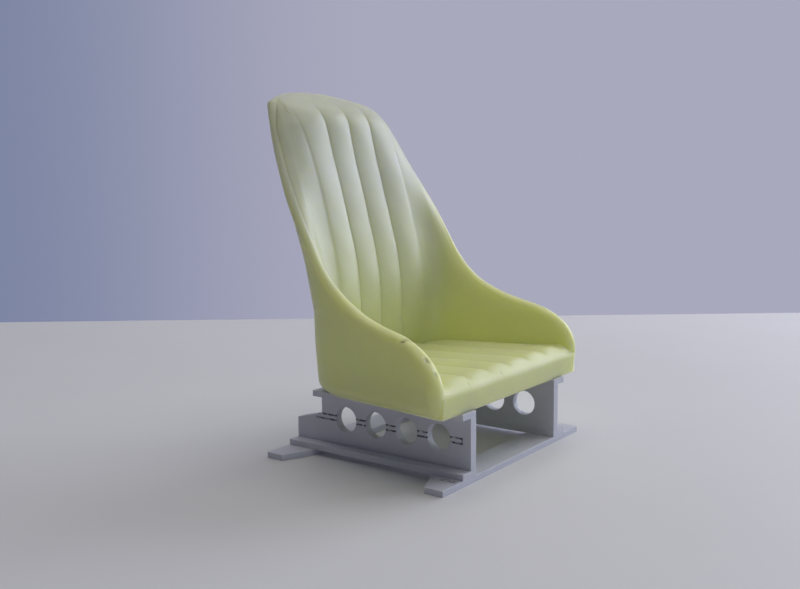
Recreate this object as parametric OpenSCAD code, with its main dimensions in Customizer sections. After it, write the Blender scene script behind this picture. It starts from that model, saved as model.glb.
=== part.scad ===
// Scale-model racing bucket seat: one resin seat casting glued to a plastic base
// made of two channel-section rails standing on two flat cross strips.
// Millimetres. The front of the seat faces -Y, the floor is Z = 0.

/* [Base] */
// Thickness of the flat strips used for the cross strips and the flanges
strip_thick = 1.0; // [0.6:0.1:1.4]
// Thickness of the upright web of each rail
web_thick = 1.5; // [1.0:0.1:2.2]
// Height of a rail over its two flanges
rail_height = 10.4; // [8.5:0.1:13]
// Clear gap between the two rails
rail_gap = 26.2; // [22:0.2:29]
// Width of a flange, web edge included
flange_width = 3.8; // [2.8:0.1:4.6]
// Length of the lower flange of a rail
rail_length = 36.0; // [34:0.5:40]
// Length of the upper flange, which stops short at the rear
upper_length = 30.4; // [28:0.2:32]
// Length of a cross strip from tab end to tab end
strip_length = 45.0; // [42:0.5:50]
// Front-to-back depth of a cross strip
strip_depth = 5.6; // [4.5:0.1:7]
// Depth left at the end of a tab after its corner is cut off
tab_depth = 3.4; // [2:0.1:4.4]

/* [Lightening holes] */
// Diameter of the round holes in each web
hole_diameter = 4.4; // [2.5:0.1:5]
// Distance from the front of the rail to the first hole centre
hole_first = 6.1; // [4:0.1:7]
// Distance between hole centres
hole_pitch = 6.3; // [5.6:0.1:6.8]
// Number of holes in each web
hole_count = 4; // [1:1:4]
// Height of the hole centres above the floor
hole_height = 6.5; // [5.5:0.1:7]

/* [Seat] */
// Thickness of the moulded walls
wall_thick = 3.2; // [2.6:0.1:3.4]
// Width of one upholstery flute
flute_pitch = 6.2; // [5.4:0.1:6.2]
// Height of the flute ridges above their grooves
flute_rise = 0.5; // [0.2:0.05:0.8]
// Height of the cushion top at its front edge, above the underside
cushion_front = 5.0; // [4.2:0.1:5.6]
// Height of the cushion top at the back, above the underside
cushion_rear = 3.8; // [3:0.1:4.6]
// Extra height of the middle of the top edge over its corners
crown_rise = 2.1; // [1.2:0.1:2.6]

/* [Hidden] */
$fn = 64;
seat_floor = strip_thick + rail_height;
web_bottom = 2 * strip_thick;
web_height = rail_height - 2 * strip_thick;
rail_inner = rail_gap / 2;
step_front_height = 7.0;
step_rear_height = 5.5;
rear_strip_front = rail_length - strip_depth;
tab_cut = 5.0;
through = 1;
resin_colour = [0.80, 0.82, 0.60];
styrene_colour = [0.80, 0.80, 0.84];
// Whole-seat depth, used to put the origin under the middle of the bounding box
front_face = 0;
rear_face = 44.9;
middle_y = (front_face + rear_face) / 2;

// Side profile of the rim as [depth, height]: an upright front post, a rounded nose, the sweep of the arm up to
// the waist, and a straight leaning edge up to the top corner
post_foot = [2, 10.6];
post_top = [2, 15.5];
arm_top = [9.5, 22.4];
waist = [26.5, 34];
rim_top = [41.5, 60];
arm_slope = 14;
nose_rise = 3;
nose_reach = 4.4;
sweep_reach = 8;
// Half width of the seat at its arms, hips and top, with the tuck at the foot
arm_half = 22.1;
hip_half = 20;
top_half = 13.4;
foot_tuck = 0.9;
foot_rise = 6.5;
arm_height = 18;
hip_drop = 10;
// Depth of the back: upright, then leaning after a soft bend
back_foot = 30;
back_lean = 0.275;
back_bend = 30.5;
back_soft = 6;
// Half width where the back turns into the sides: flaring, then tapering after a soft bend
corner_foot = 17;
corner_flare = 0.12;
corner_taper = 0.19;
corner_bend = 25;
corner_soft = 5;
// The back is slightly hollow low down and bulges forward near the top
hollow_low = 0.8;
top_bulge = 2;
hollow_height = 41;
// Half thickness of the rim, thinning above the arms
rim_half = 0.9;
thin_start = 17;
thin_run = 17;
// Rows of the loft, as shares of the way up, at which each stretch of the side profile ends
nose_row = 1 / 6;
arm_row = 1 / 3;
waist_row = 7 / 12;
curl_row = 5 / 6;
cushion_row = 0.11;
half = wall_thick / 2;
crease_half = 2 * flute_pitch;
crease_share = 0.85;
corner_hollow = 1.2;
corner_reach = 7;
corner_share = 0.6;
curl_height = 55;
curl_depth = 6;
crown_power = 2.6;
crown_height = 50;
bottom_round = 2.4;
bottom_tuck = 0.6;
row_count = 34;
flute_columns = 12;
side_columns = 9;
column_count = flute_columns + side_columns;
roll_steps = 5;
top_steps = [18, 38, 58, 76];
flute_fade_low = 15.5;
flute_fade_high = 60;
flute_fade_band = 3;
flute_end = 1.4;
cushion_face = 0.3;
cushion_roll = 2.6;
cushion_roll_drop = 2.2;
cushion_edge = 1.2;
cushion_sink = 0.5;
cushion_rows = 16;
cushion_power = 1.7;
cushion_lap = 0.4;
flute_steps = 18;
probe_steps = 60;

// ---- curve helpers ----
function clamp(t) = min(1, max(0, t));
function ease(t) = let (c = clamp(t)) c * c * (3 - 2 * c);
function mix(a, b, t) = a + (b - a) * t;
function unit(a) = a / norm(a);
function bezier(p, q, r, e, t) =
    pow(1 - t, 3) * p + 3 * t * pow(1 - t, 2) * q + 3 * t * t * (1 - t) * r + pow(t, 3) * e;
// Level up to 0 and rising one for one beyond it, with a parabola over the soft length either side
function soft_ramp(d, soft) = d <= -soft ? 0 : d >= soft ? d : pow(d + soft, 2) / (4 * soft);

arm_way = [cos(arm_slope), sin(arm_slope)];
back_way = unit(rim_top - waist);
curl_point = mix(waist, rim_top, (curl_height - waist[1]) / (rim_top[1] - waist[1]));
// [depth, height] of the rim at row v, 0 at the underside and 1 at the top corner
function rim_profile(v) =
    v < nose_row ? mix(post_foot, post_top, v / nose_row)
    : v < arm_row ? bezier(post_top, post_top + [0, nose_rise], arm_top - nose_reach * arm_way, arm_top,
        (v - nose_row) / (arm_row - nose_row))
    : v < waist_row ? bezier(arm_top, arm_top + sweep_reach * arm_way, waist - sweep_reach * back_way, waist,
        (v - arm_row) / (waist_row - arm_row))
    : v < curl_row ? mix(waist, curl_point, (v - waist_row) / (curl_row - waist_row))
    : mix(curl_point, rim_top, (v - curl_row) / (1 - curl_row));

function rim_width(z) =
    arm_half - foot_tuck * (1 - ease((z - post_foot[1]) / foot_rise))
    - (arm_half - hip_half) * ease((z - arm_height) / hip_drop)
    - (hip_half - top_half) * pow(clamp((z - waist[1]) / (rim_top[1] - waist[1])), 2);
function back_depth(z) = back_foot + back_lean * soft_ramp(z - back_bend, back_soft);
function corner_width(z) =
    corner_foot + corner_flare * (z - post_foot[1])
    - (corner_flare + corner_taper) * soft_ramp(z - corner_bend, corner_soft);
function back_hollow(z) =
    hollow_low - (hollow_low + top_bulge) * pow(clamp((z - hollow_height) / (rim_top[1] - hollow_height)), 3);
function rim_thick(z) = mix(half, rim_half, ease((z - thin_start) / thin_run));
// Cross-section at row v: [height, rim half width, rim depth, back depth, corner half width, hollow, rim thickness]
function section(v) =
    let (rim = rim_profile(v), z = rim[1])
    [z, rim_width(z), rim[0], back_depth(z), corner_width(z), back_hollow(z), rim_thick(z)];

// Column a runs 0 (middle) .. 1 (crease) .. 2 (rim); plan position [x, y] of the wall middle
function plan_point(st, a) =
    let (
        rim = [st[1], st[2]],
        crease = [min(crease_half, crease_share * st[1]), st[3] - st[5]],
        corner = [st[4], st[3] - st[5] * corner_hollow],
        leg = rim - corner,
        side = corner + leg * min(corner_share, corner_reach / norm(leg)),
        t = clamp((a - 1) / 0.5),
        bend = mix(mix(crease, corner, t), mix(corner, side, t), t)
    )
    a <= 1 ? [crease[0] * a, st[3] - st[5] * a * a]
    : a <= 1.5 ? bend
    : mix(side, rim, (a - 1.5) / 0.5);

// Share of the way from the start of the top curl to the top edge
function curl(z) = clamp((z - curl_height) / (rim_top[1] - curl_height));
// Middle of the wall at row v (0..1) and signed column s (-2..2)
function wall_point(v, s) =
    let (
        st = section(v),
        p = plan_point(st, abs(s)),
        crown = 1 - pow(p[0] / st[1], crown_power),
        rise = crown_rise * ease((st[0] - crown_height) / (rim_top[1] - crown_height)) * crown
    )
    [sign(s) * p[0], p[1] + curl_depth * pow(curl(st[0]), 2) * crown, st[0] + rise];
// Half thickness: full in the panel, falling round to the rim value at the edges
function wall_half(v, s) =
    let (
        st = section(v),
        edge = pow(curl(st[0]), 2) + pow(clamp(abs(s) - 1), 2)
    )
    mix(st[6], half, sqrt(clamp(1 - edge)));

step_v = 0.004;
step_s = 0.02;
function below(v) = max(0, v - step_v);
function above(v) = min(1, v + step_v);
function before(s) = max(-2, s - step_s);
function after(s) = min(2, s + step_s);
function wall_normal(v, s) =
    unit(cross(
        wall_point(above(v), s) - wall_point(below(v), s),
        wall_point(v, after(s)) - wall_point(v, before(s))
    ));
// Direction that leaves the sheet across an edge running along the given line
function leave(normal, along, ahead) =
    let (out = unit(cross(normal, along)))
    out * ahead < 0 ? -out : out;
function rim_out(v, s) =
    leave(
        wall_normal(v, s),
        wall_point(above(v), s) - wall_point(below(v), s),
        wall_point(v, s) - wall_point(v, s * 0.95)
    );
function top_out(s) =
    leave(
        wall_normal(1, s),
        wall_point(1, after(s)) - wall_point(1, before(s)),
        wall_point(1, s) - wall_point(0.96, s)
    );

// Ridge height of the upholstery at half width x: zero in every groove
function flute(x) = pow(abs(sin(180 * x / flute_pitch)), 0.7);
function fade(z) =
    ease((z - flute_fade_low) / flute_fade_band) * ease((flute_fade_high - z) / flute_fade_band);
function inset(z) =
    let (t = clamp((seat_floor + bottom_round - z) / bottom_round))
    bottom_round * (1 - sqrt(1 - t * t * 0.98));

// One skin point: turn 0 is the outer face, 180 the inner face, 90 the rolled rim;
// phi climbs from 0 in the sheet to 90 straight out of the top edge
function skin_point(v, s, turn, phi) =
    let (
        m = wall_point(v, s),
        n = wall_normal(v, s),
        h = wall_half(v, s),
        cut = inset(m[2]),
        face = cos(turn) > 0 ? max(0.1, h - cut) : h,
        ribbed = turn > 179 && abs(m[0]) < crease_half,
        ridge = ribbed ? flute_rise * flute(m[0]) * fade(m[2]) * ease((flute_end - abs(s)) / 0.4) : 0,
        sheet = n * (face * cos(turn) - ridge),
        roll = turn > 0 && turn < 180 ? rim_out(v, s) * max(0.1, h - cut * bottom_tuck) * sin(turn) : [0, 0, 0],
        top = phi > 0 ? top_out(s) * h * sin(phi) : [0, 0, 0]
    )
    m + (sheet + roll) * cos(phi) + top;

function column(j) =
    abs(j) <= flute_columns ? j / flute_columns : sign(j) * (1 + (abs(j) - flute_columns) / side_columns);
// Outer face left to right, rolled rim, inner face right to left, rolled rim
function ring(v, phi) =
    concat(
        [for (j = [-column_count : column_count]) skin_point(v, column(j), 0, phi)],
        [for (k = [1 : roll_steps - 1]) skin_point(v, 2, 180 * k / roll_steps, phi)],
        [for (j = [-column_count : column_count]) skin_point(v, column(-j), 180, phi)],
        [for (k = [1 : roll_steps - 1]) skin_point(v, -2, 180 - 180 * k / roll_steps, phi)]
    );

// Triangles of a stack of closed rings with both ends zipped shut
function stack_faces(rings, size, first) = concat(
    [for (i = [0 : rings - 2], k = [0 : size - 1])
        [i * size + k, i * size + (k + 1) % size, (i + 1) * size + (k + 1) % size]],
    [for (i = [0 : rings - 2], k = [0 : size - 1])
        [i * size + k, (i + 1) * size + (k + 1) % size, (i + 1) * size + k]],
    zip_cap(0, size, first, false),
    zip_cap((rings - 1) * size, size, first, true)
);
// Each ring point of the outer face sits opposite one of the inner face, so a cap is a zip of narrow strips
function zip_cap(base, size, first, flip) =
    let (
        opposite = function (k) (2 * first + roll_steps - 2 - k + size) % size
    )
    [for (k = [-floor(roll_steps / 2) : first + floor((roll_steps - 1) / 2) - 1])
        let (
            a = base + (k + size) % size,
            b = base + (k + 1 + size) % size,
            c = base + opposite(k + 1),
            d = base + opposite(k)
        )
        for (tri = [[a, b, c], [a, c, d]])
            if (tri[0] != tri[1] && tri[1] != tri[2] && tri[0] != tri[2])
                flip ? tri : [tri[2], tri[1], tri[0]]];

// Walls, back and rolled rim as one closed skin
module seat_shell() {
    first = 2 * column_count + 1;
    rings = concat(
        [for (i = [0 : row_count]) ring(i / row_count, 0)],
        [for (phi = top_steps) ring(1, phi)]
    );
    size = len(rings[0]);
    polyhedron(
        points = [for (r = rings) for (p = r) p],
        faces = stack_faces(len(rings), size, first),
        convexity = 6
    );
}

// Half width of the wall middle at depth y, a little above the underside
function wall_reach(y) =
    let (
        st = section(cushion_row),
        hits = [for (k = [0 : probe_steps - 1])
            let (p = plan_point(st, 1 + k / probe_steps), q = plan_point(st, 1 + (k + 1) / probe_steps))
            if (p[1] >= y && q[1] < y) mix(p[0], q[0], (p[1] - y) / (p[1] - q[1]))]
    )
    len(hits) > 0 ? hits[0] : (y > st[3] - 2 ? crease_half : st[1]);
// Cushion thickness profile from front to back
function roll_fall(y, face, reach, drop) =
    let (t = clamp((reach - (y - face)) / reach)) drop * (1 - sqrt(1 - t * t));
function cushion_top(x, y) =
    let (
        rear = back_foot,
        slope = mix(cushion_front, cushion_rear, (y - cushion_face) / (rear - cushion_face)),
        ridge = flute_rise * flute(x) * ease((y - cushion_face - 0.6) / 2)
    )
    seat_floor + slope + ridge - roll_fall(y, cushion_face, cushion_roll, cushion_roll_drop);
function cushion_under(y) = seat_floor - cushion_sink + roll_fall(y, cushion_face, cushion_edge, cushion_edge);
// Columns follow the flute pitch, with one more at each side inside the wall
function cushion_x(j, y) =
    let (reach = wall_reach(y), inner = min(flute_steps * flute_pitch / 6, reach - cushion_lap))
    abs(j) > flute_steps ? sign(j) * reach : j / flute_steps * inner;

// Solid cushion block between the walls, fluted on top and rolled over at the front
module cushion() {
    rear = back_foot - cushion_lap;
    rows = [for (i = [0 : cushion_rows]) mix(cushion_face, rear, pow(i / cushion_rows, cushion_power))];
    spans = 2 * (flute_steps + 1);
    wide = spans + 1;
    xs = [for (y = rows) [for (j = [-flute_steps - 1 : flute_steps + 1]) cushion_x(j, y)]];
    top = [for (i = [0 : cushion_rows]) for (x = xs[i]) [x, rows[i], cushion_top(x, rows[i])]];
    low = [for (i = [0 : cushion_rows]) for (x = xs[i]) [x, rows[i], cushion_under(rows[i])]];
    shift = len(top);
    polyhedron(
        points = concat(top, low),
        faces = concat(
            [for (i = [0 : cushion_rows - 1], j = [0 : spans - 1]) let (a = i * wide + j)
                each [[a, a + wide, a + wide + 1], [a, a + wide + 1, a + 1]]],
            [for (i = [0 : cushion_rows - 1], j = [0 : spans - 1]) let (a = shift + i * wide + j)
                each [[a, a + wide + 1, a + wide], [a, a + 1, a + wide + 1]]],
            [for (j = [0 : spans - 1]) each [[j, j + 1, shift + j + 1], [j, shift + j + 1, shift + j]]],
            [for (j = [0 : spans - 1]) let (a = cushion_rows * wide + j)
                each [[a, shift + a + 1, a + 1], [a, shift + a, shift + a + 1]]],
            [for (i = [0 : cushion_rows - 1]) let (a = i * wide)
                each [[a, shift + a + wide, a + wide], [a, shift + a, shift + a + wide]]],
            [for (i = [0 : cushion_rows - 1]) let (a = i * wide + spans)
                each [[a, a + wide, shift + a + wide], [a, shift + a + wide, shift + a]]]
        ),
        convexity = 4
    );
}

module seat_casting() {
    color(resin_colour)
    translate([0, -middle_y, 0])
    difference() {
        union() {
            seat_shell();
            cushion();
        }
        translate([-40, -10, seat_floor - 10])
        cube([80, 70, 10]);
    }
}

// ---- base ----
module web_outline() {
    top = web_bottom + web_height;
    difference() {
        polygon([
            [0, web_bottom],
            [rail_length, web_bottom],
            [rail_length, step_rear_height],
            [upper_length, step_front_height],
            [upper_length, top],
            [0, top]
        ]);
        for (i = [0 : hole_count - 1])
            translate([hole_first + i * hole_pitch, hole_height])
            circle(d = hole_diameter);
    }
}
// Upright web whose inner face lies on the plane x = rail_inner
module web() {
    color(styrene_colour)
    translate([rail_inner, -middle_y, 0])
    rotate([90, 0, 90])
    linear_extrude(web_thick)
    web_outline();
}
module flange(length, bottom) {
    color(styrene_colour)
    translate([rail_inner, -middle_y, bottom])
    cube([flange_width, length, strip_thick]);
}
// Flat strip with one corner of each tab cut off on the side that faces the other strip
module cross_strip(front) {
    end = strip_length / 2;
    color(styrene_colour)
    translate([0, front - middle_y, 0])
    linear_extrude(strip_thick)
    polygon([
        [-end, 0],
        [end, 0],
        [end, tab_depth],
        [end - tab_cut, strip_depth],
        [-end + tab_cut, strip_depth],
        [-end, tab_depth]
    ]);
}

module left_web() {
    web();
}
module right_web() {
    mirror([1, 0, 0])
    web();
}
module left_top_flange() {
    flange(upper_length, rail_height);
}
module right_top_flange() {
    mirror([1, 0, 0])
    left_top_flange();
}
module left_bottom_flange() {
    flange(rail_length, strip_thick);
}
module right_bottom_flange() {
    mirror([1, 0, 0])
    left_bottom_flange();
}
module front_cross_strip() {
    cross_strip(0);
}
module rear_cross_strip() {
    translate([0, -2 * middle_y + rail_length, 0])
    mirror([0, 1, 0])
    cross_strip(0);
}

seat_casting();
right_web();
right_top_flange();
right_bottom_flange();
left_web();
left_top_flange();
left_bottom_flange();
front_cross_strip();
rear_cross_strip();
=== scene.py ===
"""A scale-model racing bucket seat: one translucent resin casting on a base of bare plastic strip and sheet.

Shapes are worked out in millimetres with y = 0 at the front of the base, and put into the model's frame in
metres.
"""
import math

import bmesh
import bpy
import numpy as np
from mathutils import Matrix, Vector


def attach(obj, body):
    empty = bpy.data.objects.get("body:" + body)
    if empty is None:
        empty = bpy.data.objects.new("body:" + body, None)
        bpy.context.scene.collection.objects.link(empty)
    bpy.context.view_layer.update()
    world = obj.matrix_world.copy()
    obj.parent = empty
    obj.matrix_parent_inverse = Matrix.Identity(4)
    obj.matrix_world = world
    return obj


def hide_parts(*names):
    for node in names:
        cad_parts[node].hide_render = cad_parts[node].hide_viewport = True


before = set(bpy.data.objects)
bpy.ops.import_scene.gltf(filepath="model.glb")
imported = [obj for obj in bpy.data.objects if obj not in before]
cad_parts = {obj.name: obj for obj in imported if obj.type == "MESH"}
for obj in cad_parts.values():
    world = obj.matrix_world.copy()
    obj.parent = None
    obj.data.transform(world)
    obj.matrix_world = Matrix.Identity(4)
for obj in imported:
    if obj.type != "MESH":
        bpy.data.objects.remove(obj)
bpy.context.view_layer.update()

MM = 0.001
DEPTH_TO_MIDDLE = 22.45  # mm from the front of the base to the middle of the object


# ---------------------------------------------------------------- seat shape
SEAT_FLOOR = 11.4       # height of the casting's flat underside
FLUTE_PITCH = 6.2       # width of one upholstery flute
FLUTE_RISE = 0.5        # height of a flute over its grooves
BACK_FLUTE_RISE = 0.42  # the same on the back
CREASE_HALF = 12.4      # half width of the fluted panel
CREASE_SHARE = 0.85     # most of the rim's half width that the panel may take
PANEL_HALF = 1.6        # half thickness of the walls away from their edges
CORNER_HOLLOW = 1.2     # hollow at the corner, as a multiple of the back's
CORNER_REACH = 7.0      # length of the bend from the corner along the side
CORNER_SHARE = 0.6      # most of the side that the bend may take
CROWN_RISE = 2.1        # rise of the middle of the top edge, its shape, and the height where it starts
CROWN_POWER = 2.6
CROWN_HEIGHT = 50
CURL_HEIGHT = 55        # where the top starts to curl back, and how far back it goes
CURL_DEPTH = 6.0
BOTTOM_ROUND = 2.4      # radius of the outer face's turn into the underside
BOTTOM_TUCK = 0.6
ROUND_LIMIT = 0.98      # keeps that turn from ending in a zero-width edge
THINNEST = 0.1          # least half thickness anywhere
EDGE_TAPER = 0.75       # how late the wall thins towards its edges
GROOVE_POWER = 0.6      # below 1 makes narrow grooves between round flutes
FLUTE_START = 15.5      # heights between which the back is fluted, and the bands over which flutes fade
FLUTE_START_BAND = 3
FLUTE_END = 60.5
FLUTE_END_BAND = 3.5
FLUTE_SIDE = 1.42       # column past the crease at which the flutes end
FLUTE_SIDE_BAND = 0.35
CREASE_BAND = 0.05      # sharpness of the crease itself
ROW_STEP = 0.004        # parameter steps used for slopes
COLUMN_STEP = 0.02

# Side profile of the rim as (depth, height): front post, rounded nose, sweep of the arm, waist, leaning edge
POST_FOOT = np.array((2, 10.6))
POST_TOP = np.array((2, 15.5))
ARM_TOP = np.array((9.5, 22.4))
WAIST = np.array((26.5, 34))
RIM_TOP = np.array((41.5, 60))
ARM_SLOPE = math.radians(14)
NOSE_RISE = 3
NOSE_REACH = 4.4
SWEEP_REACH = 8
ARM_HALF = 22.1         # half width at the arms, hips and top, with the tuck at the foot
HIP_HALF = 20
TOP_HALF = 13.4
FOOT_TUCK = 0.9
FOOT_RISE = 6.5
ARM_HEIGHT = 18
HIP_DROP = 10
BACK_FOOT = 30          # depth of the back: upright, then leaning after a soft bend
BACK_LEAN = 0.275
BACK_BEND = 30.5
BACK_SOFT = 6
CORNER_FOOT = 17        # half width where the back turns into the sides
CORNER_FLARE = 0.12
CORNER_TAPER = 0.19
CORNER_BEND = 25
CORNER_SOFT = 5
HOLLOW_LOW = 0.8        # the back is slightly hollow low down and bulges forward near the top
TOP_BULGE = 2
HOLLOW_HEIGHT = 41
RIM_HALF = 0.9          # half thickness of the rim above the arms
THIN_START = 17
THIN_RUN = 17
NOSE_ROW = 1 / 6        # shares of the way up at which each stretch of the side profile ends
ARM_ROW = 1 / 3
WAIST_ROW = 7 / 12
CURL_ROW = 5 / 6
CUSHION_ROW = 0.11


def ease(t):
    """Smooth step: 3t^2 - 2t^3 of t held between 0 and 1."""
    t = np.clip(t, 0, 1)
    return t * t * (3 - 2 * t)


def unit(a):
    """Each vector divided by its own length."""
    return a / np.maximum(np.linalg.norm(a, axis=-1, keepdims=True), 1e-12)


def mix(a, b, t):
    """Straight blend from a to b."""
    return a + (b - a) * t


def bezier(p, q, r, e, t):
    """Cubic Bezier curve from p to e with handles q and r."""
    return (1 - t)**3 * p + 3 * t * (1 - t)**2 * q + 3 * t * t * (1 - t) * r + t**3 * e


def soft_ramp(d, soft):
    """Level up to 0 and rising one for one beyond it, with a parabola over the soft length either side."""
    return np.where(d <= -soft, 0, np.where(d >= soft, d, (d + soft)**2 / (4 * soft)))


def rim_profile(v):
    """(depth, height) of the rim at row v: a straight line, two Bezier curves and two more straight lines."""
    arm_way = np.array((math.cos(ARM_SLOPE), math.sin(ARM_SLOPE)))
    back_way = unit(RIM_TOP - WAIST)
    curl_point = mix(WAIST, RIM_TOP, (CURL_HEIGHT - WAIST[1]) / (RIM_TOP[1] - WAIST[1]))
    ends = (0, NOSE_ROW, ARM_ROW, WAIST_ROW, CURL_ROW, 1)
    t = [np.clip((v - low) / (high - low), 0, 1)[..., None] for low, high in zip(ends, ends[1:])]
    runs = [
        mix(POST_FOOT, POST_TOP, t[0]),
        bezier(POST_TOP, POST_TOP + (0, NOSE_RISE), ARM_TOP - NOSE_REACH * arm_way, ARM_TOP, t[1]),
        bezier(ARM_TOP, ARM_TOP + SWEEP_REACH * arm_way, WAIST - SWEEP_REACH * back_way, WAIST, t[2]),
        mix(WAIST, curl_point, t[3]),
        mix(curl_point, RIM_TOP, t[4]),
    ]
    return np.select([v[..., None] < end for end in ends[1:-1]], runs[:-1], runs[-1])


def section(v):
    """Cross-section at row v: height, rim half width, rim depth, back depth, corner half width, hollow of
    the back and half thickness of the rim. Widths follow smooth steps and a square law, depths soft ramps."""
    rim = rim_profile(v)
    z = rim[..., 1]
    up = np.clip((z - WAIST[1]) / (RIM_TOP[1] - WAIST[1]), 0, 1)
    width = (ARM_HALF - FOOT_TUCK * (1 - ease((z - POST_FOOT[1]) / FOOT_RISE))
             - (ARM_HALF - HIP_HALF) * ease((z - ARM_HEIGHT) / HIP_DROP) - (HIP_HALF - TOP_HALF) * up**2)
    back = BACK_FOOT + BACK_LEAN * soft_ramp(z - BACK_BEND, BACK_SOFT)
    corner = (CORNER_FOOT + CORNER_FLARE * (z - POST_FOOT[1])
              - (CORNER_FLARE + CORNER_TAPER) * soft_ramp(z - CORNER_BEND, CORNER_SOFT))
    bulge = np.clip((z - HOLLOW_HEIGHT) / (RIM_TOP[1] - HOLLOW_HEIGHT), 0, 1)**3
    thick = mix(PANEL_HALF, RIM_HALF, ease((z - THIN_START) / THIN_RUN))
    hollow = HOLLOW_LOW - (HOLLOW_LOW + TOP_BULGE) * bulge
    return np.stack([z, width, rim[..., 0], back, corner, hollow, thick], -1)


def plan_point(st, a):
    """Plan curve of the wall's middle: a parabola across the panel for a in 0..1, a quadratic bend round
    the corner to 1.5, then a straight line to the rim at 2."""
    rim_x, rim_y, back, corner_x, hollow = (st[..., k] for k in range(1, 6))
    crease_x = np.minimum(CREASE_HALF, CREASE_SHARE * rim_x)
    crease_y, corner_y = back - hollow, back - hollow * CORNER_HOLLOW
    leg_x, leg_y = rim_x - corner_x, rim_y - corner_y
    share = np.minimum(CORNER_SHARE, CORNER_REACH / np.hypot(leg_x, leg_y))
    side_x, side_y = corner_x + leg_x * share, corner_y + leg_y * share
    t = np.clip((a - 1) / 0.5, 0, 1)
    w = np.clip((a - 1.5) / 0.5, 0, 1)
    bend_x = (1 - t)**2 * crease_x + 2 * t * (1 - t) * corner_x + t * t * side_x
    bend_y = (1 - t)**2 * crease_y + 2 * t * (1 - t) * corner_y + t * t * side_y
    x = np.where(a <= 1, crease_x * a, np.where(a <= 1.5, bend_x, side_x + (rim_x - side_x) * w))
    y = np.where(a <= 1, back - hollow * a * a,
                 np.where(a <= 1.5, bend_y, side_y + (rim_y - side_y) * w))
    return x, y


def curl(z):
    """Share of the way up from the start of the top curl to the top edge."""
    return np.clip((z - CURL_HEIGHT) / (RIM_TOP[1] - CURL_HEIGHT), 0, 1)


def wall_point(v, s):
    """Middle of the wall at row v (0..1) and signed column s (-2..2): the plan curve, raised to a crown in the
    middle of the top edge and curled back there by the square of the curl share."""
    v, s = np.broadcast_arrays(v, s)
    st = section(v)
    x, y = plan_point(st, np.abs(s))
    crown = 1 - np.clip(x / st[..., 1], 0, 1)**CROWN_POWER
    rise = CROWN_RISE * ease((st[..., 0] - CROWN_HEIGHT) / (RIM_TOP[1] - CROWN_HEIGHT)) * crown
    return np.stack([np.sign(s) * x, y + CURL_DEPTH * curl(st[..., 0])**2 * crown, st[..., 0] + rise], -1)


def wall_half(v, s):
    """Half thickness: full in the panel, falling off towards the rim's value at the edges."""
    v, s = np.broadcast_arrays(v, s)
    st = section(v)
    rim = st[..., 6]
    edge = curl(st[..., 0])**2 + np.clip(np.abs(s) - 1, 0, 1)**2
    return rim + (PANEL_HALF - rim) * np.clip(1 - edge, 0, 1)**EDGE_TAPER


def steps(v, s):
    """Neighbouring parameters used for slopes."""
    return (np.maximum(v - ROW_STEP, 0), np.minimum(v + ROW_STEP, 1),
            np.maximum(s - COLUMN_STEP, -2), np.minimum(s + COLUMN_STEP, 2))


def wall_normal(v, s):
    """Outward normal: the cross product of the slopes along the two parameters."""
    v0, v1, s0, s1 = steps(v, s)
    return unit(np.cross(wall_point(v1, s) - wall_point(v0, s), wall_point(v, s1) - wall_point(v, s0)))


def leave(normal, along, ahead):
    """Direction in the sheet that crosses an edge outwards: normal x edge, signed by the way ahead."""
    out = unit(np.cross(normal, along))
    return out * np.where(np.sum(out * ahead, -1, keepdims=True) < 0, -1, 1)


def rim_out(v, s):
    """Direction out of the sheet across the side rim."""
    v0, v1, _, _ = steps(v, s)
    return leave(wall_normal(v, s), wall_point(v1, s) - wall_point(v0, s),
                 wall_point(v, s) - wall_point(v, s * 0.95))


def top_out(s):
    """Direction out of the sheet across the top edge."""
    one = np.ones_like(s)
    _, _, s0, s1 = steps(one, s)
    return leave(wall_normal(one, s), wall_point(one, s1) - wall_point(one, s0),
                 wall_point(one, s) - wall_point(one * 0.96, s))


def flute(x):
    """Rounded flute profile: zero in every groove, one on the ridges."""
    return np.abs(np.sin(np.pi * x / FLUTE_PITCH))**GROOVE_POWER


def inset(z):
    """How far the outside face draws in near the underside: a quarter circle of radius BOTTOM_ROUND."""
    t = np.clip((SEAT_FLOOR + BOTTOM_ROUND - z) / BOTTOM_ROUND, 0, 1)
    return BOTTOM_ROUND * (1 - np.sqrt(1 - t * t * ROUND_LIMIT))


def ripple(p, size, depth):
    """Hand-made unevenness: three crossed sine waves of the given wavelength, in mm."""
    k = 2 * math.pi / size
    x, y, z = p[..., 0], p[..., 1], p[..., 2]
    return depth * (np.sin(k * (x + 0.6 * z) + 1.1) + np.sin(k * (0.8 * y - z) + 2.3)
                    + np.sin(k * (0.7 * x + y + 0.5 * z)))


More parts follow.
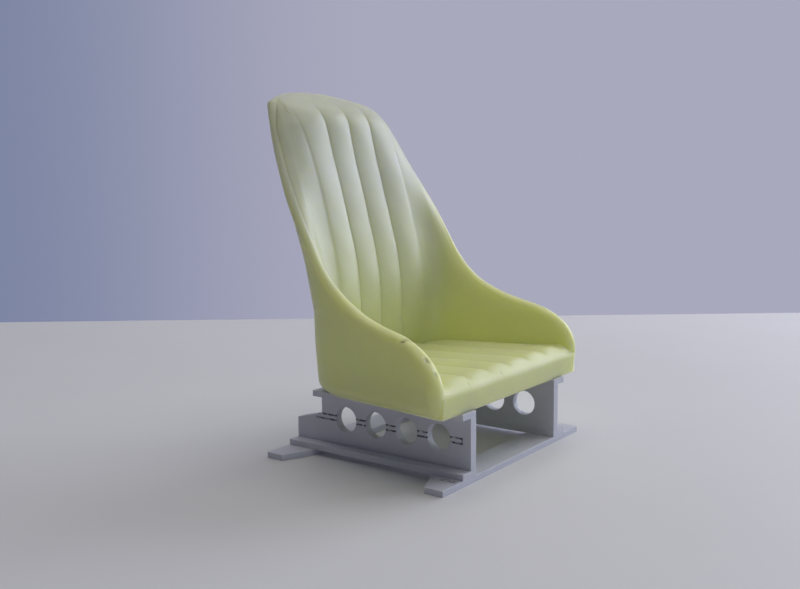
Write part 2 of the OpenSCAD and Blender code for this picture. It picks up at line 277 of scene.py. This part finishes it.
def skin(v, s, turn, phi):
    """Skin points. turn 0 is the outer face, 180 the inner face and 90 the rolled rim; phi climbs from 0 in the
    sheet to 90 straight out of the top edge. Every edge is a rounded bead of the wall's half thickness."""
    v, s, turn, phi = np.broadcast_arrays(v, s, turn, phi)
    m, n, h = wall_point(v, s), wall_normal(v, s), wall_half(v, s)
    cut = inset(m[..., 2])
    c, d = np.cos(np.radians(turn)), np.sin(np.radians(turn))
    d = np.where((turn > 0) & (turn < 180), d, 0)
    face = np.where(c > 0, np.maximum(h - cut, THINNEST), h)
    x = np.abs(m[..., 0])
    fade = (ease((m[..., 2] - FLUTE_START) / FLUTE_START_BAND) * ease((FLUTE_END - m[..., 2]) / FLUTE_END_BAND)
            * ease((FLUTE_SIDE - np.abs(s)) / FLUTE_SIDE_BAND))
    crease = ease((CREASE_HALF + CREASE_BAND - x) / CREASE_BAND)
    ridge = np.where(turn > 179, BACK_FLUTE_RISE * flute(x) * fade * crease, 0)
    roll = np.maximum(h - cut * BOTTOM_TUCK, THINNEST) * d
    out = n * (face * c - ridge)[..., None] + rim_out(v, s) * roll[..., None]
    lift = np.radians(phi)[..., None]
    over = out * np.cos(lift) + top_out(s) * h[..., None] * np.sin(lift)
    ball = unit(over) * h[..., None]
    return m + np.where(lift > 0, np.where(d[..., None] > 0, ball, over), out)


def grid_mesh(name, points, wrap):
    """Quads between the rows of a grid of points; the second parameter closes on itself where wrap is true.
    Points that coincide are merged, which closes collapsed end rows."""
    rows, cols = points.shape[:2]
    i, j = np.meshgrid(np.arange(rows - 1), np.arange(cols if wrap else cols - 1), indexing="ij")
    k = (j + 1) % cols
    quads = np.stack([i * cols + j, i * cols + k, (i + 1) * cols + k, (i + 1) * cols + j], -1).reshape(-1, 4)
    flat = np.round(points.reshape(-1, 3), 5)
    unique, index = np.unique(flat, axis=0, return_inverse=True)
    quads = index.reshape(-1)[quads]
    same = quads == np.roll(quads, -1, axis=1)
    whole = quads[same.sum(1) == 0]
    bent = quads[same.sum(1) == 1]
    keep = ~same[same.sum(1) == 1]
    tris = bent[keep].reshape(-1, 3)
    unique = unique.astype(float)
    unique[:, 1] -= DEPTH_TO_MIDDLE
    mesh = bpy.data.meshes.new(name)
    mesh.from_pydata((unique * MM).tolist(), [], whole.tolist() + tris.tolist())
    mesh.update()
    obj = bpy.data.objects.new(name, mesh)
    bpy.context.scene.collection.objects.link(obj)
    return obj


ROWS = 170
PANEL_COLUMNS = 48
SIDE_COLUMNS = 34
ROLL_COLUMNS = 11
TOP_ROWS = 7


def make_walls():
    """Back, side walls and rolled edges: rings round the wall's section from the underside to the top edge."""
    half = np.concatenate([np.linspace(0, 1, PANEL_COLUMNS, endpoint=False), np.linspace(1, 2, SIDE_COLUMNS)])
    across = np.concatenate([-half[:0:-1], half])
    turns = np.linspace(0, 180, ROLL_COLUMNS + 2)[1:-1]
    s = np.concatenate([across, np.full(ROLL_COLUMNS, 2.0), across[::-1], np.full(ROLL_COLUMNS, -2.0)])
    turn = np.concatenate([0 * across, turns, 180 + 0 * across, turns[::-1]])
    v = np.linspace(0, 1, ROWS)[:, None]
    body = skin(v, s[None, :], turn[None, :], 0.0)
    climb = np.linspace(0, 90, TOP_ROWS + 2)[1:-1, None]
    top = skin(np.ones_like(climb), s[None, :], turn[None, :], climb)
    foot = wall_point(np.zeros(len(s)), s)[None]
    one = np.ones(len(s))
    tip = (wall_point(one, s) + top_out(s) * wall_half(one, s)[:, None])[None]
    points = np.concatenate([foot, body, top, tip])
    return grid_mesh("seat_walls", points, True)


CUSHION_FACE = 0.3      # depth of the cushion's front face
CUSHION_ROLL = 2.6      # length and drop of the rolled front edge
CUSHION_DROP = 2.2
CUSHION_EDGE = 1.2      # the same for the lower edge
CUSHION_FRONT = 5.0     # height of the top over the underside, at the front and at the rear
CUSHION_REAR = 3.8
CUSHION_SINK = 0.5      # how far the block goes below the underside before it is cut off
CUSHION_LAP = 0.4       # how far it stays inside the walls
CUSHION_FLUTED = 18.6   # half width of its fluted part
CUSHION_ROWS = 72
CUSHION_COLUMNS = 217
CUSHION_ROW_POWER = 1.7 # packs the rows towards the front edge
CUSHION_FLUTE_START = 0.6
CUSHION_FLUTE_BAND = 2
PROBES = 400


def fall(y, reach, drop):
    """Quarter ellipse: how far a front edge falls away at depth y."""
    t = np.clip((reach - (y - CUSHION_FACE)) / reach, 0, 1)
    return drop * (1 - np.sqrt(1 - t * t))


def make_cushion():
    """Fluted cushion block: loops from front to back over the top and back underneath, one for each column,
    with the front edge rolled over and both ends closed inside the walls."""
    probe = np.linspace(2, 1, PROBES)
    low = wall_point(np.full(PROBES, CUSHION_ROW), probe)
    rear = BACK_FOOT - CUSHION_LAP
    y = CUSHION_FACE + (rear - CUSHION_FACE) * np.linspace(0, 1, CUSHION_ROWS)**CUSHION_ROW_POWER
    reach = np.interp(y, low[:, 1], low[:, 0])[None, :]
    q = np.linspace(-1, 1, CUSHION_COLUMNS)[:, None]
    inner = np.minimum(CUSHION_FLUTED, reach - CUSHION_LAP)
    x = np.concatenate([-reach, q * inner, reach])
    y = np.broadcast_to(y, x.shape)
    slope = CUSHION_FRONT + (CUSHION_REAR - CUSHION_FRONT) * (y - CUSHION_FACE) / (rear - CUSHION_FACE)
    ridge = FLUTE_RISE * flute(x) * ease((y - CUSHION_FACE - CUSHION_FLUTE_START) / CUSHION_FLUTE_BAND)
    z_top = SEAT_FLOOR + slope + ridge - fall(y, CUSHION_ROLL, CUSHION_DROP)
    z_low = SEAT_FLOOR - CUSHION_SINK + fall(y, CUSHION_EDGE, CUSHION_EDGE)
    top = np.stack([x, y, z_top], -1)
    under = np.stack([x, y, z_low], -1)
    loops = np.concatenate([top, under[:, ::-1]], 1)
    middle = (top + under) / 2
    ends = [np.concatenate([middle[k], middle[k][::-1]])[None] for k in (0, -1)]
    return grid_mesh("cushion", np.concatenate([ends[0], loops, ends[1]]), True)


def recalculate(obj):
    """Turns every face outwards."""
    bm = bmesh.new()
    bm.from_mesh(obj.data)
    bmesh.ops.recalc_face_normals(bm, faces=bm.faces)
    bm.to_mesh(obj.data)
    bm.free()


def make_block(name, low, high):
    """A plain box, used only to cut with."""
    xs, ys, zs = zip(low, high)
    corners = np.array([[x, y, z] for x in xs for y in ys for z in zs])
    faces = [(0, 1, 3, 2), (4, 6, 7, 5), (0, 4, 5, 1), (2, 3, 7, 6), (0, 2, 6, 4), (1, 5, 7, 3)]
    mesh = bpy.data.meshes.new(name)
    mesh.from_pydata((corners * MM).tolist(), [], faces)
    obj = bpy.data.objects.new(name, mesh)
    bpy.context.scene.collection.objects.link(obj)
    recalculate(obj)
    return obj


# Casting flaws on the right rim: row, turn round the rim in degrees, radius in mm, depth in mm, darkness
RIM_FLAWS = [
    (0.308, 60, 0.28, 0.30, 1.0),
    (0.306, 85, 0.25, 0.34, 1.0),
    (0.303, 110, 0.24, 0.30, 0.9),
    (0.300, 135, 0.22, 0.20, 0.6),
    (0.245, 95, 0.50, 0.55, 0.75),
    (0.210, 100, 0.34, 0.40, 0.7),
    (0.260, 80, 0.55, 0.22, 0.15),
    (0.235, 70, 0.60, 0.20, 0.1),
    (0.225, 110, 0.42, 0.26, 0.2),
    (0.200, 90, 0.50, 0.25, 0.15),
]
CORNER_MARK = (22.5, 1, 12.5)   # brown mark at the foot of the left rim
FRONT_NICKS = (-14, -4, 19)     # across the cushion's front edge


NICK_HEIGHT = 15.4
SHRINK = 0.035          # the whole skin is drawn in by this much, so that ripples stay within the mould's size
RIPPLES = ((11.0, 0.012), (4.7, 0.006))  # wavelength and depth


def flaw_list():
    """Centre, radius, depth and darkness of every flaw, with those on the rim placed by the rim's own curve."""
    placed = [(skin(row, -2.0, float(turn), 0.0), *rest) for row, turn, *rest in RIM_FLAWS]
    placed.append((CORNER_MARK, 0.35, 0.12, 1.0))
    placed += [((x, 1, NICK_HEIGHT), 0.28, 0.16, 0.1) for x in FRONT_NICKS]
    return placed


def add_flaws(mesh):
    """Pits, a chipped patch on one rim and a short crack: each pulls the surface in along its normal by
    depth * exp(-(distance / radius)^2) and darkens it by the same bell curve, which is painted shade in the
    dents and the brown mark's own colour. The whole skin also gets the slight unevenness of a hand-made mould."""
    count = len(mesh.vertices)
    points, normals = np.empty(count * 3), np.empty(count * 3)
    mesh.vertices.foreach_get("co", points)
    mesh.vertices.foreach_get("normal", normals)
    points, normals = points.reshape(-1, 3) / MM, normals.reshape(-1, 3)
    points[:, 1] += DEPTH_TO_MIDDLE
    sink, mark_and_pit_shade = np.zeros(count), np.zeros(count)
    for centre, radius, depth, dark in flaw_list():
        bell = np.exp(-(np.linalg.norm(points - np.array(centre), axis=1) / radius)**2)
        sink += depth * bell
        # painted shade: each dent is darkened by its darkness value, except the brown mark, whose darkness is
        # its own colour
        mark_and_pit_shade = np.maximum(mark_and_pit_shade, dark * bell)
    clear = ease(points[:, 2] - SEAT_FLOOR)
    sink += (SHRINK + sum(ripple(points, size, depth) for size, depth in RIPPLES)) * clear
    points -= normals * (sink * clear)[:, None]
    points[:, 1] -= DEPTH_TO_MIDDLE
    mesh.vertices.foreach_set("co", (points * MM).ravel())
    mesh.attributes.new("mark_and_pit_shade", "FLOAT", "POINT").data.foreach_set("value", mark_and_pit_shade)
    mesh.update()


def make_seat():
    """Walls and cushion joined to one closed casting, cut off flat at the underside."""
    seat, cushion = make_walls(), make_cushion()
    recalculate(seat)
    recalculate(cushion)
    cutter = make_block("underside_cutter", (-40, -60, SEAT_FLOOR - 10), (40, 60, SEAT_FLOOR))
    for operand, how in ((cushion, "UNION"), (cutter, "DIFFERENCE")):
        mod = seat.modifiers.new(operand.name, "BOOLEAN")
        mod.solver = "MANIFOLD"
        mod.operation = how
        mod.object = operand
    graph = bpy.context.evaluated_depsgraph_get()
    mesh = bpy.data.meshes.new_from_object(seat.evaluated_get(graph))
    seat.modifiers.clear()
    seat.data = mesh
    for extra in (cushion, cutter):
        bpy.data.objects.remove(extra)
    mesh.materials.clear()
    mesh.polygons.foreach_set("use_smooth", np.ones(len(mesh.polygons), bool))
    mesh.set_sharp_from_angle(angle=math.radians(42))
    add_flaws(mesh)
    return seat


# ---------------------------------------------------------------- materials
def colour(code, alpha=1.0):
    """sRGB hex to linear: each channel c below 0.04045 is c / 12.92, and above it ((c + 0.055) / 1.055)^2.4."""
    c = np.array([int(code[k:k + 2], 16) / 255 for k in (1, 3, 5)])
    return (*np.where(c <= 0.04045, c / 12.92, ((c + 0.055) / 1.055)**2.4), alpha)


def per_mm(size):
    """Texture scale that gives a pattern of this size in mm on Object coordinates in metres."""
    return 1 / (size * MM)


def add(tree, kind, inputs=None, **settings):
    """Adds a node, sets its properties, and fills or links its inputs."""
    node = tree.nodes.new(kind)
    for key, value in settings.items():
        setattr(node, key, value)
    for key, value in (inputs or {}).items():
        if isinstance(value, bpy.types.NodeSocket):
            tree.links.new(value, node.inputs[key])
        else:
            node.inputs[key].default_value = value
    return node


def material(name):
    """An empty node material with its output node and Object coordinates."""
    mat = bpy.data.materials.new(name)
    mat.use_nodes = True
    tree = mat.node_tree
    tree.nodes.clear()
    out = add(tree, "ShaderNodeOutputMaterial")
    where = add(tree, "ShaderNodeTexCoord").outputs["Object"]
    return mat, tree, out, where


def finish_material(tree, out, shader):
    """Joins the shader to the output."""
    tree.links.new(shader.outputs[0], out.inputs["Surface"])


def cast_resin():
    """Polyurethane casting resin, unpainted: milky and yellow where light has come through it, with painted
    glow making it yellower low down, a satin skin copied from the mould, cloudy patches and trapped bubbles."""
    mat, tree, out, where = material("cast_polyurethane_resin")
    cloud = add(tree, "ShaderNodeTexNoise", {"Vector": where, "Scale": per_mm(9), "Detail": 3.0,
                                             "Roughness": 0.55})
    low_yellow_glow = add(tree, "ShaderNodeMix", {"Factor": cloud.outputs[0], "A": colour("#DADF98"),
                                       "B": colour("#E1E4A8")}, data_type="RGBA")
    pale = add(tree, "ShaderNodeMix", {"Factor": cloud.outputs[0], "A": colour("#C9CCB0"),
                                       "B": colour("#D3D6C0")}, data_type="RGBA")
    mark_and_pit_shade = add(tree, "ShaderNodeAttribute", attribute_name="mark_and_pit_shade").outputs["Fac"]
    height = add(tree, "ShaderNodeSeparateXYZ", {"Vector": where}).outputs["Z"]
    # painted glow: deep yellow low down where the walls are thick, paler up the back, standing in for light
    # coming through the resin
    glow_fade_upward = add(tree, "ShaderNodeMapRange", {"Value": height, "From Min": 18 * MM, "From Max": 48 * MM})
    tint = add(tree, "ShaderNodeMix", {"Factor": glow_fade_upward.outputs[0], "A": low_yellow_glow.outputs["Result"],
                                       "B": pale.outputs["Result"]}, data_type="RGBA")
    # painted shade: dark olive-brown laid into the pits, chip, crack and nicks; on the brown mark it is the
    # mark's own colour
    tint = add(tree, "ShaderNodeMix", {"Factor": mark_and_pit_shade, "A": tint.outputs["Result"],
                                       "B": colour("#5A5226")}, data_type="RGBA")
    sheen = add(tree, "ShaderNodeTexNoise", {"Vector": where, "Scale": per_mm(3), "Detail": 4.0})
    rough = add(tree, "ShaderNodeMapRange", {"Value": sheen.outputs[0], "From Min": 0.3, "From Max": 0.7,
                                             "To Min": 0.34, "To Max": 0.48})
    grain = add(tree, "ShaderNodeTexNoise", {"Vector": where, "Scale": per_mm(0.9), "Detail": 3.0})
    bubbles = add(tree, "ShaderNodeTexVoronoi", {"Vector": where, "Scale": per_mm(1.6)})
    pits = add(tree, "ShaderNodeMapRange", {"Value": bubbles.outputs["Distance"], "From Min": 0.05,
                                            "From Max": 0.11, "To Min": 0.0, "To Max": 1.0})
    relief = add(tree, "ShaderNodeMath", {0: grain.outputs[0], 1: 0.6, 2: pits.outputs[0]},
                 operation="MULTIPLY_ADD")
    bump = add(tree, "ShaderNodeBump", {"Height": relief.outputs[0], "Strength": 0.35, "Distance": 0.04 * MM})
    shader = add(tree, "ShaderNodeBsdfPrincipled", {
        "Base Color": tint.outputs["Result"], "Roughness": rough.outputs[0], "IOR": 1.5,
        "Normal": bump.outputs[0],
        "Subsurface Weight": 1.0, "Subsurface Radius": (1.0, 0.95, 0.42), "Subsurface Scale": 4.2 * MM,
    })
    finish_material(tree, out, shader)
    return mat


def span(tree, value, low, high, soft):
    """Mask that is 1 between low and high of a coordinate, with soft edges."""
    rise = add(tree, "ShaderNodeMapRange", {"Value": value, "From Min": low - soft, "From Max": low + soft})
    drop = add(tree, "ShaderNodeMapRange", {"Value": value, "From Min": high - soft, "From Max": high + soft,
                                            "To Min": 1.0, "To Max": 0.0})
    both = add(tree, "ShaderNodeMath", {0: rise.outputs[0], 1: drop.outputs[0]}, operation="MULTIPLY")
    return both.outputs[0]


def styrene(name, marks=()):
    """Bare high-impact polystyrene, matt from the roller, with faint sanding scratches. marks are pencil
    strokes: boxes of (low, high) corners in mm."""
    mat, tree, out, where = material(name)
    xyz = add(tree, "ShaderNodeSeparateXYZ", {"Vector": where})
    stretch = add(tree, "ShaderNodeMapping", {"Vector": where, "Scale": (per_mm(0.5), per_mm(7), per_mm(0.5))})
    scratches = add(tree, "ShaderNodeTexNoise", {"Vector": stretch.outputs[0], "Scale": 1.0, "Detail": 3.0})
    patches = add(tree, "ShaderNodeTexNoise", {"Vector": where, "Scale": per_mm(6), "Detail": 3.0})
    tint = add(tree, "ShaderNodeMix", {"Factor": patches.outputs[0], "A": colour("#CACBD4"),
                                       "B": colour("#D8D9E0")}, data_type="RGBA")
    paint = tint.outputs["Result"]
    worn = add(tree, "ShaderNodeTexNoise", {"Vector": where, "Scale": per_mm(0.7), "Detail": 2.0})
    broken = add(tree, "ShaderNodeMapRange", {"Value": worn.outputs[0], "From Min": 0.3, "From Max": 0.55})
    for low, high in marks:
        mask = broken.outputs[0]
        for axis in range(3):
            part = span(tree, xyz.outputs[axis], low[axis] * MM, high[axis] * MM, 0.06 * MM)
            mask = add(tree, "ShaderNodeMath", {0: mask, 1: part}, operation="MULTIPLY").outputs[0]
        paint = add(tree, "ShaderNodeMix", {"Factor": mask, "A": paint, "B": colour("#3C3C44")},
                    data_type="RGBA").outputs["Result"]
    bump = add(tree, "ShaderNodeBump", {"Height": scratches.outputs[0], "Strength": 0.3, "Distance": 0.03 * MM})
    shader = add(tree, "ShaderNodeBsdfPrincipled", {
        "Base Color": paint, "Roughness": 0.48, "IOR": 1.59, "Normal": bump.outputs[0],
        "Subsurface Weight": 0.2, "Subsurface Radius": (1.0, 1.0, 1.0), "Subsurface Scale": 0.4 * MM,
    })
    finish_material(tree, out, shader)
    return mat


# ---------------------------------------------------------------- the object
seat = make_seat()
seat.name = "seat_casting_skin"
seat.data.materials.append(cast_resin())
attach(seat, "root")
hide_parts("seat_casting")

F = -DEPTH_TO_MIDDLE  # the front of the base in the model's frame
web_face = -14.6       # outer face of the right web
web_marks = [
    ((web_face - 0.2, F + 1.6, 6.75), (web_face + 0.2, F + 31.4, 7.05)),
    ((web_face - 0.2, F + 1.6, 5.95), (web_face + 0.2, F + 31.8, 6.25)),
    ((web_face - 0.2, F + 1.5, 5.95), (web_face + 0.2, F + 1.75, 7.05)),
]
tab_marks = [
    ((-18.3, F + 0.4, 0.9), (-18.05, F + 3.4, 1.1)),
    ((-17.7, F + 0.5, 0.9), (-17.45, F + 3.3, 1.1)),
]
finishes = {
    "right_web": styrene("sheet_polystyrene_pencil_lines", web_marks),
    "left_web": styrene("sheet_polystyrene"),
    "front_cross_strip": styrene("strip_polystyrene_pencil_ticks", tab_marks),
}
strip = styrene("strip_polystyrene")
for name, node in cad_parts.items():
    if name == "seat_casting":
        continue
    node.data.materials.clear()
    node.data.materials.append(finishes.get(name, strip))
    weld = node.modifiers.new("weld", "WELD")
    weld.merge_threshold = 0.001 * MM
    bevel = node.modifiers.new("cut_edges", "BEVEL")
    bevel.width = 0.07 * MM
    bevel.segments = 2
    bevel.limit_method = "ANGLE"
    bevel.angle_limit = math.radians(50)

# ---------------------------------------------------------------- table, backdrop, light and camera
CAMERA_AT = Vector((-135.85, F - 75.78, 47.67)) * MM
YAW, PITCH, ROLL = 0.634, -0.125, -0.009
forward = Vector((math.cos(PITCH) * math.cos(YAW), math.cos(PITCH) * math.sin(YAW), math.sin(PITCH)))
level = Vector((math.sin(YAW), -math.cos(YAW), 0))
rise = level.cross(forward)
right = level * math.cos(ROLL) + rise * math.sin(ROLL)
up = rise * math.cos(ROLL) - level * math.sin(ROLL)
lens = bpy.data.cameras.new("camera")
lens.lens, lens.sensor_width = 42.7, 36.0
lens.clip_start, lens.clip_end = 0.01, 20
camera = bpy.data.objects.new("camera", lens)
camera.matrix_world = Matrix.Translation(CAMERA_AT) @ Matrix((right, up, -forward)).transposed().to_4x4()
bpy.context.scene.collection.objects.link(camera)
bpy.context.scene.camera = camera

flat_ahead = Vector((math.cos(YAW), math.sin(YAW), 0))
EDGE = 0.317   # horizontal distance from the camera to the far edge of the table, in metres


def sheet_between(name, corners, mat):
    """One flat sheet through four corners, part of the surroundings."""
    mesh = bpy.data.meshes.new(name)
    mesh.from_pydata([tuple(c) for c in corners], [], [(0, 1, 2, 3)])
    obj = bpy.data.objects.new(name, mesh)
    bpy.context.scene.collection.objects.link(obj)
    mesh.materials.append(mat)
    return obj


def plain(name, code, low, high, size):
    """Matt paint or card with a faint cloudy unevenness."""
    mat, tree, out, where = material(name)
    cloud = add(tree, "ShaderNodeTexNoise", {"Vector": where, "Scale": per_mm(size), "Detail": 4.0})
    shade = add(tree, "ShaderNodeMapRange", {"Value": cloud.outputs[0], "To Min": low, "To Max": high})
    tint = add(tree, "ShaderNodeVectorMath", {0: colour(code)[:3], "Scale": shade.outputs[0]},
               operation="SCALE")
    shader = add(tree, "ShaderNodeBsdfPrincipled", {"Base Color": tint.outputs[0], "Roughness": 0.6,
                                                    "IOR": 1.45})
    finish_material(tree, out, shader)
    return mat


foot = Vector((CAMERA_AT.x, CAMERA_AT.y, 0))
skew = 0.02
back_left = foot + flat_ahead * (EDGE - 1.5 * skew) - level * 1.5
back_right = foot + flat_ahead * (EDGE + 1.5 * skew) + level * 1.5
sheet_between("table", [foot - flat_ahead * 1.5 - level * 1.5, foot - flat_ahead * 1.5 + level * 1.5,
                        back_right, back_left], plain("pale_table_card", "#E3E2E2", 0.97, 1.03, 40))
wall = foot + flat_ahead * 1.6


def lit_wall():
    """Lilac-grey painted wall glowing with painted light, its painted shade falling off to a bluer grey on the
    left.
    """
    mat, tree, out, where = material("lilac_wall_glow_with_painted_falloff")
    sideways = add(tree, "ShaderNodeVectorMath", {0: where, 1: level}, operation="DOT_PRODUCT")
    painted_falloff = add(tree, "ShaderNodeMapRange", {"Value": sideways.outputs["Value"], "From Min": -0.75,
                                                "From Max": 0.0}, interpolation_type="SMOOTHSTEP")
    # painted shade: the wall darkens from lilac-grey to a bluer grey towards the left
    tint = add(tree, "ShaderNodeMix", {"Factor": painted_falloff.outputs[0], "A": colour("#7C85A3"),
                                       "B": colour("#A9A9BD")}, data_type="RGBA")
    # painted light: the wall emits its own glow instead of being lit by the lamps
    glow = add(tree, "ShaderNodeEmission", {"Color": tint.outputs["Result"], "Strength": 1.0})
    finish_material(tree, out, glow)
    return mat


sheet_between("backdrop", [wall - level * 2.5 - Vector((0, 0, 1.0)), wall + level * 2.5 - Vector((0, 0, 1.0)),
                           wall + level * 2.5 + Vector((0, 0, 2.0)), wall - level * 2.5 + Vector((0, 0, 2.0))],
              lit_wall())


def lamp(name, place, aim, size, watts, code):
    """A square soft box at place, turned to face aim."""
    data = bpy.data.lights.new(name, "AREA")
    data.size, data.energy, data.color = size, watts, colour(code)[:3]
    obj = bpy.data.objects.new(name, data)
    obj.matrix_world = Matrix.Translation(place) @ (aim - place).to_track_quat("-Z", "Y").to_matrix().to_4x4()
    bpy.context.scene.collection.objects.link(obj)


target = Vector((0, 0, 0.03))
lamp("window", target + level * 0.47 + flat_ahead * 0.31 + Vector((0, 0, 0.2)), target, 0.42, 2.0, "#E6ECFF")
lamp("ceiling", target + Vector((0.1, -0.02, 0.8)), target, 0.9, 3.2, "#FFFDF6")
lamp("low_front", target + Vector((-0.05, -0.65, 0.02)), target, 0.5, 0.62, "#CCDDFF")

world = bpy.data.worlds.new("room")
world.use_nodes = True
sky = world.node_tree.nodes["Background"]
sky.inputs[0].default_value = colour("#B4B4CC")
sky.inputs[1].default_value = 0.15
bpy.context.scene.world = world
bpy.context.scene.view_settings.view_transform = "Standard"
